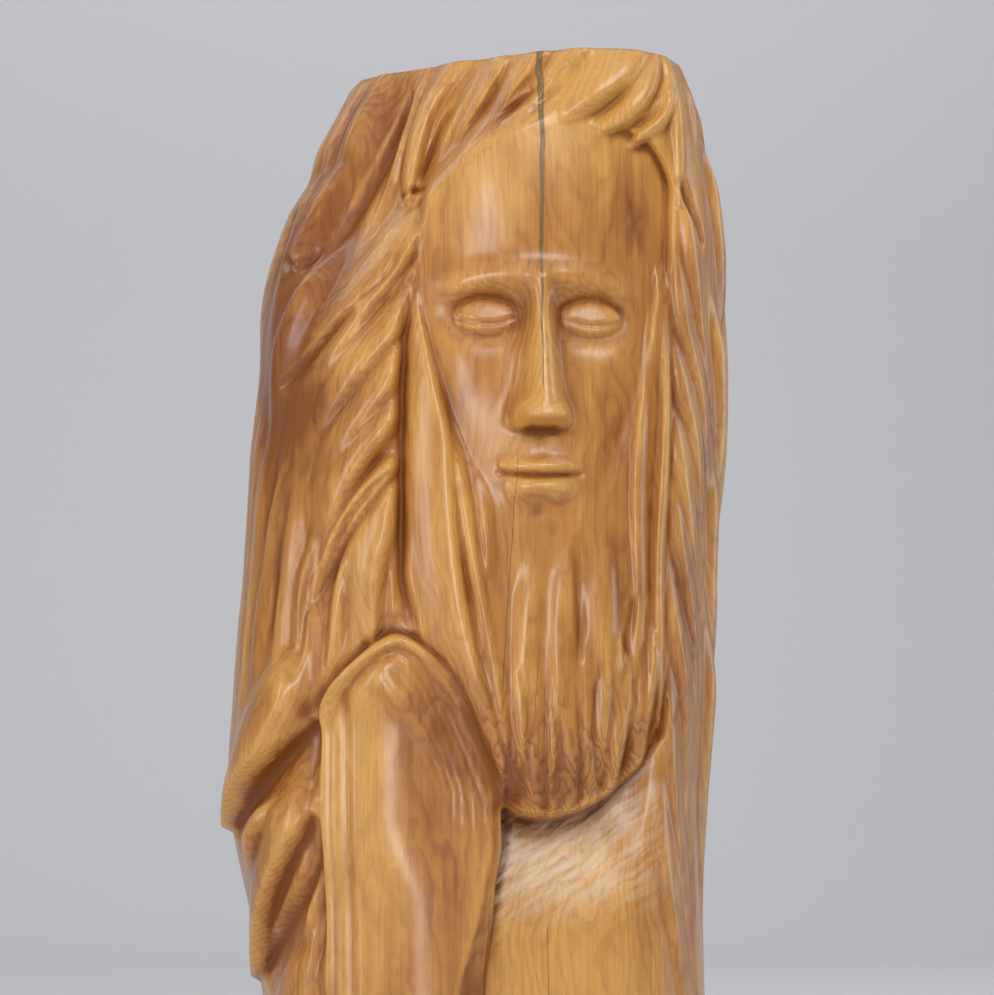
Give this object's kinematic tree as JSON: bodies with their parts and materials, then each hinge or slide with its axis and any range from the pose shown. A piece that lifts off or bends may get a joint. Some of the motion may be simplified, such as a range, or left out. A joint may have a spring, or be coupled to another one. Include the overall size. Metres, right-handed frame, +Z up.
{
  "type": "carved wooden figurehead bust",
  "caption": "Upright wooden bust of a long-haired, bearded man carved from one log, with a flat sawn crown and a flat foot to stand or be bolted on.",
  "frame": {"origin": "on the flat underside, below the middle of the face", "axes": "+Z up the log, the face looks along -Y, +X to the viewer's right"},
  "size_m": [0.3561, 0.2981, 0.68],
  "materials": {
    "varnished_wood": "golden brown ring-porous wood, sanded smooth over gouge work, under clear satin varnish"
  },
  "bodies": {
    "root": {"carved_bust": "varnished_wood"}
  },
  "joints": []
}
